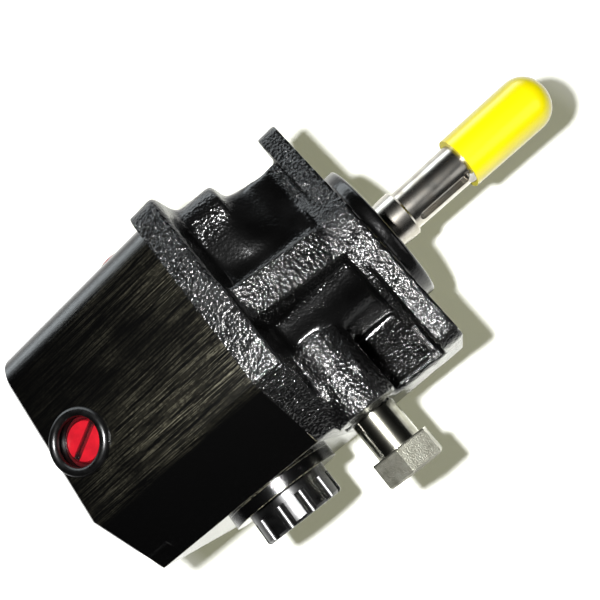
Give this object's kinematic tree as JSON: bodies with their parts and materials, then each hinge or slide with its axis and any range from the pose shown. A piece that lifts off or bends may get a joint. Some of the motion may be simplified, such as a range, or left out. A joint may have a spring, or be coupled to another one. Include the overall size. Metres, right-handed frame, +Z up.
{
  "type": "hydraulic gear motor",
  "caption": "Three-section hydraulic gear motor with a two-bolt piloted flange, keyed shaft in a dust cap, plugged ports and a relief cartridge.",
  "frame": {"origin": "shaft axis at the flange's mounting face", "axes": "+X out along the shaft, +Z up to the machined side with the rear port, +Y towards the red-plugged side port"},
  "size_m": [0.359, 0.2432, 0.22],
  "materials": {
    "black_casting": "gloss black paint over cast iron",
    "black_steel": "gloss black paint",
    "bronze": "machined bearing bronze",
    "bearing_steel": "ground bearing steel",
    "ground_steel": "ground and polished steel",
    "plated_steel": "bright zinc plating",
    "seal_rubber": "matt nitrile",
    "yellow_vinyl": "gloss dipped vinyl",
    "red_plastic": "gloss moulded plastic"
  },
  "bodies": {
    "housing": {"shaft_end_cover": "black_casting", "gear_housing": "black_casting", "port_end_cover": "black_casting", "thrust_plate_front": "bronze", "thrust_plate_rear": "bronze", "bush_drive_front": "bronze", "bush_idler_front": "bronze", "bush_drive_rear": "bronze", "bush_idler_rear": "bronze", "bearing_outer_race": "bearing_steel", "bearing_balls": "bearing_steel", "retaining_ring": "bearing_steel", "seal_carrier": "black_casting", "shaft_seal": "seal_rubber", "main_port_plug": "black_steel", "main_plug_seal": "seal_rubber", "relief_cartridge": "plated_steel", "relief_oring": "seal_rubber", "relief_seat": "bearing_steel", "relief_spring": "bearing_steel", "tie_bolts": "black_steel", "bolt_washers": "black_steel", "dowel_pins": "bearing_steel", "section_seal_front": "seal_rubber", "section_seal_rear": "seal_rubber"},
    "drive": {"drive_shaft": "ground_steel", "shaft_key": "ground_steel", "bearing_inner_race": "bearing_steel"},
    "idler": {"idler_gear": "ground_steel"},
    "poppet": {"relief_poppet": "bearing_steel"},
    "cap": {"shaft_cap": "yellow_vinyl"},
    "rear_plug": {"rear_port_plug": "red_plastic"},
    "side_plug": {"side_port_plug": "red_plastic"}
  },
  "joints": [
    {"name": "shaft_spin", "type": "hinge", "parent": "housing", "child": "drive", "pos_m": [0, 0, 0], "axis": [1, 0, 0], "continuous": true},
    {"name": "idler_spin", "type": "hinge", "parent": "housing", "child": "idler", "pos_m": [-0.143, 0, -0.054], "axis": [1, 0, 0], "continuous": true},
    {"name": "relief_lift", "type": "slide", "parent": "housing", "child": "poppet", "axis": [0, -1, 0], "range_m": [0, 0.003], "stiffness_N_per_m": 20000, "deforming": ["relief_spring"]},
    {"name": "cap_pull", "type": "slide", "parent": "drive", "child": "cap", "axis": [1, 0, 0], "range_m": [0, 0.06]},
    {"name": "rear_plug_pull", "type": "slide", "parent": "housing", "child": "rear_plug", "axis": [0, 0, 1], "range_m": [0, 0.03]},
    {"name": "side_plug_pull", "type": "slide", "parent": "housing", "child": "side_plug", "axis": [0, 1, 0], "range_m": [0, 0.03]}
  ],
  "couplings": [
    {"joint": "idler_spin", "follows": "shaft_spin", "ratio": -1}
  ]
}
